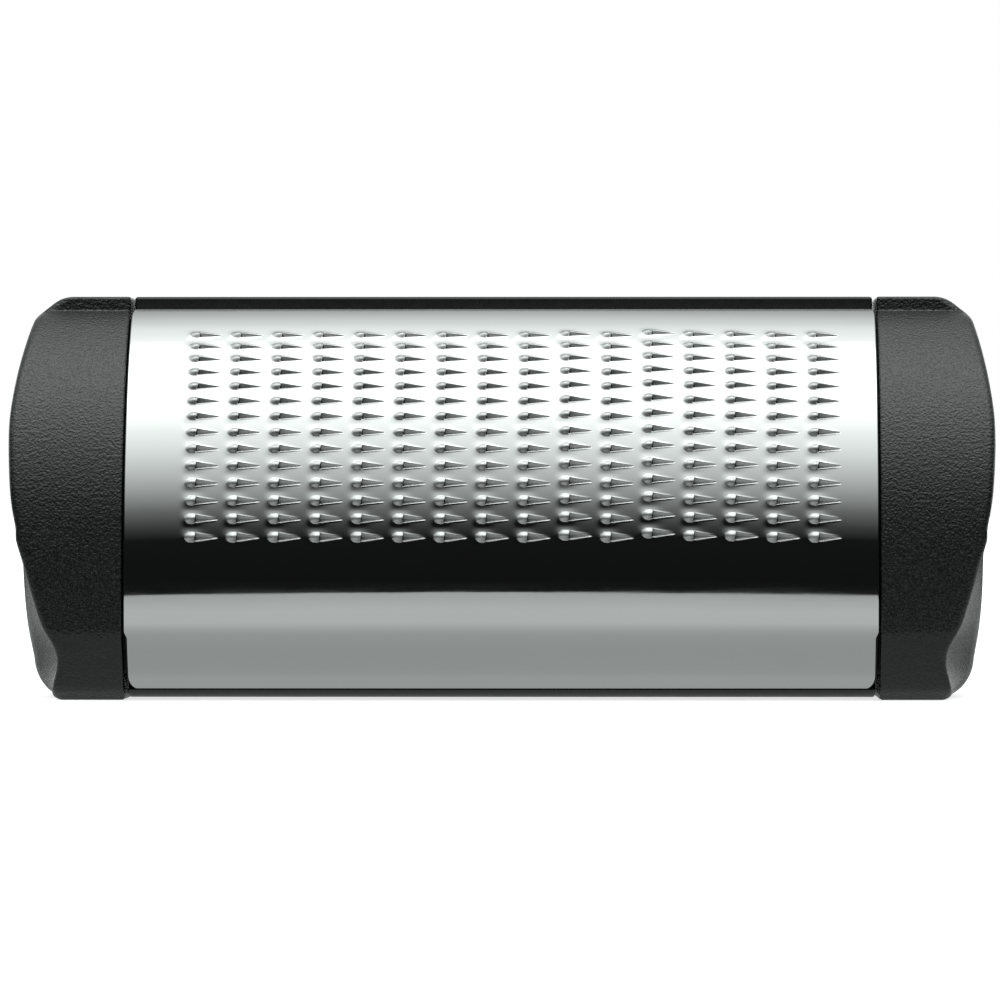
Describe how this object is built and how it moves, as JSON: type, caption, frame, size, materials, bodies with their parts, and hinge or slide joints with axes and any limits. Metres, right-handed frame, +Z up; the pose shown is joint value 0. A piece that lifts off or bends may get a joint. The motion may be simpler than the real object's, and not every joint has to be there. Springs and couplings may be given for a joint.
{
  "type": "nutmeg grater",
  "caption": "Low hand-held nutmeg grater: a curved steel plate of raised cut teeth between grained end caps with finger scoops, over a pull-out catch tray and a nutmeg store.",
  "frame": {"origin": "middle of the footprint, on the surface that the caps stand on", "axes": "+X along the grater towards the cap with the tray, -Y out of the grater plate, +Z up"},
  "size_m": [0.1194, 0.046, 0.0487],
  "materials": {
    "steel": "mirror-polished stainless sheet with ground cut edges",
    "smooth_black": "smooth semi-gloss moulding",
    "grained_black": "fine eroded grain",
    "inside_black": "plain satin moulding",
    "tray_grey": "plain satin moulding",
    "rubber": "matt",
    "screw_steel": "plated"
  },
  "bodies": {
    "container": {"grater_plate": "steel", "plate_carrier": "inside_black", "rear_shell": "smooth_black", "base_plate": "smooth_black", "divider_wall": "inside_black", "left_end_frame": "inside_black", "right_end_frame": "inside_black", "left_frame_screw_1": "screw_steel", "left_frame_screw_2": "screw_steel", "right_frame_screw_1": "screw_steel", "right_frame_screw_2": "screw_steel", "base_screw_1": "screw_steel", "base_screw_2": "screw_steel", "base_screw_3": "screw_steel", "base_screw_4": "screw_steel"},
    "drawer": {"right_cap": "grained_black", "right_cap_insert": "inside_black", "right_cap_screw_1": "screw_steel", "right_cap_screw_2": "screw_steel", "right_cap_screw_3": "screw_steel", "right_seal": "rubber", "catch_tray": "tray_grey", "tray_screw_1": "screw_steel", "tray_screw_2": "screw_steel"},
    "lid": {"left_cap": "grained_black", "left_cap_insert": "inside_black", "left_cap_screw_1": "screw_steel", "left_cap_screw_2": "screw_steel", "left_cap_screw_3": "screw_steel", "left_seal": "rubber"}
  },
  "joints": [
    {"name": "drawer_slide", "type": "slide", "parent": "container", "child": "drawer", "axis": [1, 0, 0], "range_m": [0, 0.09]},
    {"name": "lid_slide", "type": "slide", "parent": "container", "child": "lid", "axis": [-1, 0, 0], "range_m": [0, 0.03]}
  ]
}
